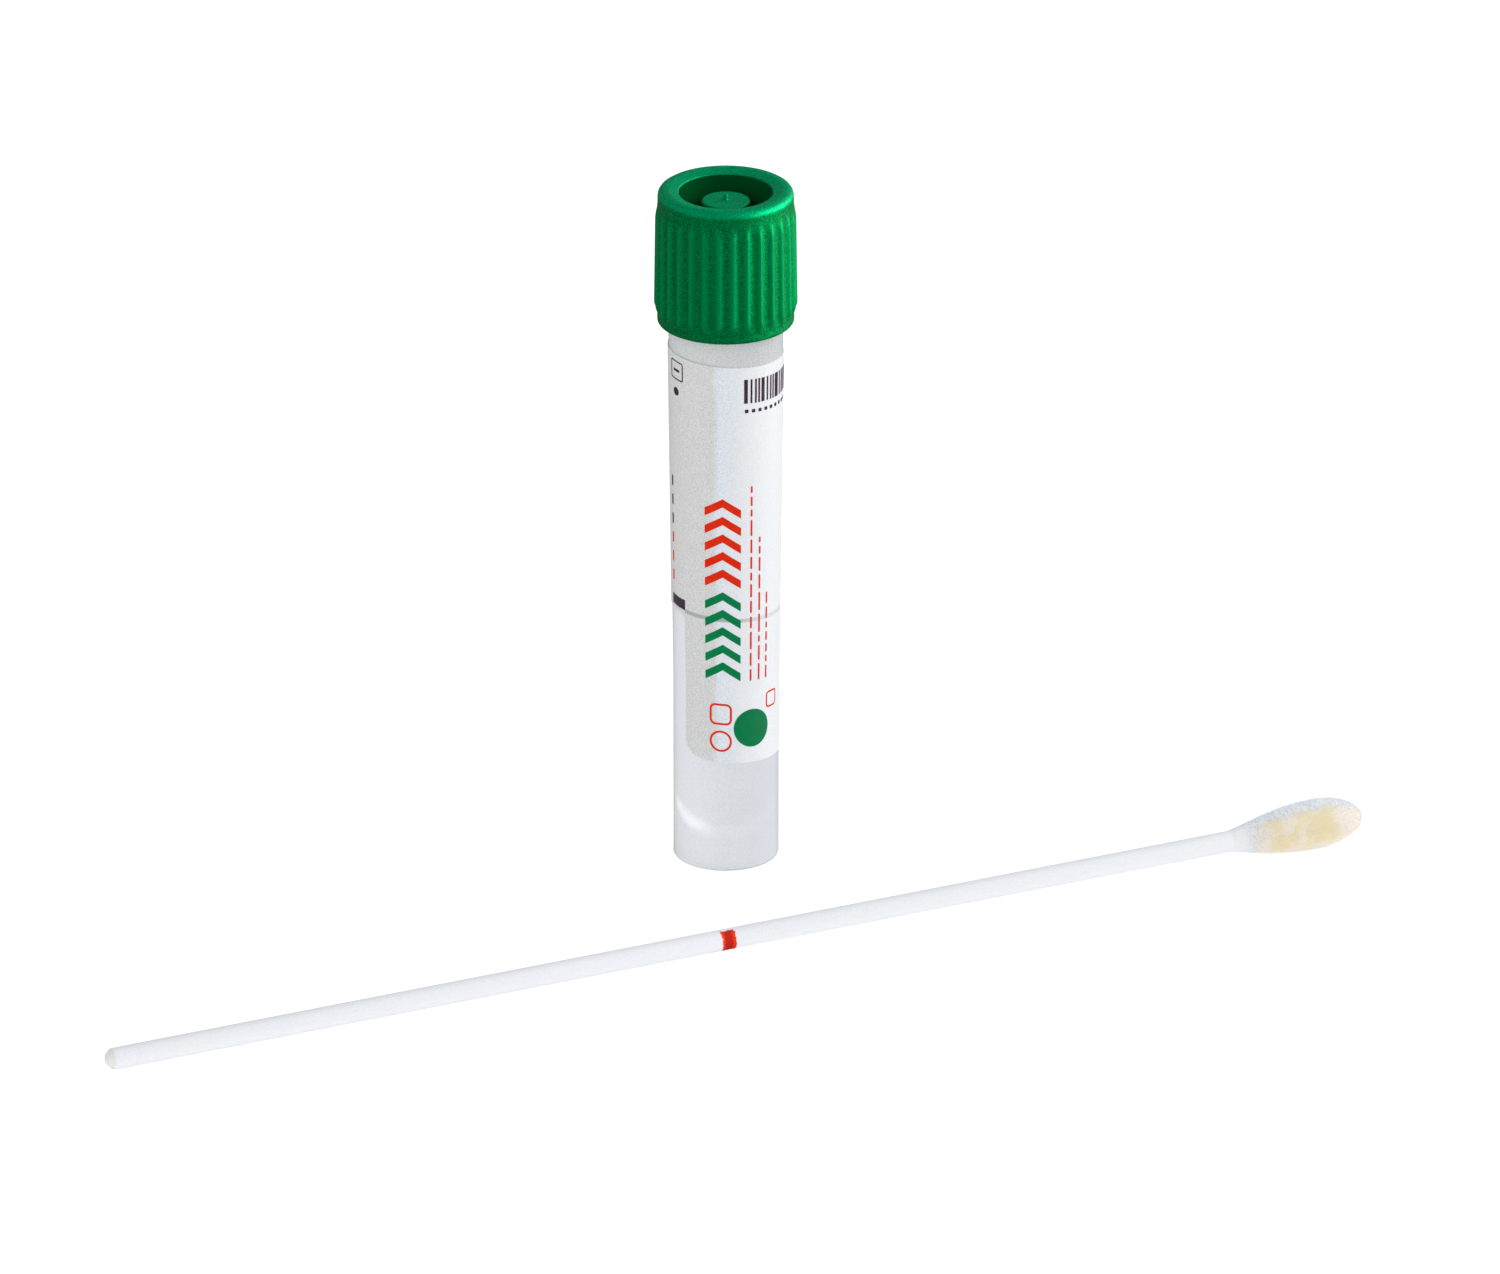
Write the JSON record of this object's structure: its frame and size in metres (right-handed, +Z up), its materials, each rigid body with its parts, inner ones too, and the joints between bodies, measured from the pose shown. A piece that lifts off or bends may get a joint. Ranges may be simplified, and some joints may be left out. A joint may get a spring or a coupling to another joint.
{
  "type": "specimen swab tube",
  "caption": "Self-standing screw-cap sample tube with conical bottom, wrap-round label, liquid medium and a flocked swab lying beside it.",
  "frame": {"origin": "centre of the tube's foot, on the surface that it stands on", "axes": "+Z up the tube's axis, -Y towards the front of the label, +X to the right; the swab lies on the plane z = 0 in front of the tube"},
  "size_m": [0.1412, 0.0704, 0.0809],
  "materials": {
    "tube_plastic": "satin",
    "label_film": "satin",
    "medium_liquid": "polished",
    "seal_rubber": "matte",
    "cap_plastic": "satin",
    "shaft_plastic": "satin",
    "tip_fibre": "matte"
  },
  "bodies": {
    "tube": {"tube": "tube_plastic", "label": "label_film", "transport_medium": "medium_liquid", "swab_shaft": "shaft_plastic", "swab_tip": "tip_fibre"},
    "seal": {"seal_ring": "seal_rubber"},
    "cap": {"cap": "cap_plastic"}
  },
  "joints": [
    {"name": "cap_lift", "type": "slide", "parent": "tube", "child": "seal", "axis": [0, 0, 1], "range_m": [0, 0.0075]},
    {"name": "cap_turn", "type": "hinge", "parent": "seal", "child": "cap", "pos_m": [0, 0, 0.0729], "axis": [0, 0, 1], "range_deg": [0, 900]}
  ],
  "couplings": [
    {"joint": "cap_turn", "follows": "cap_lift", "rad_per_m": 2094.4}
  ]
}
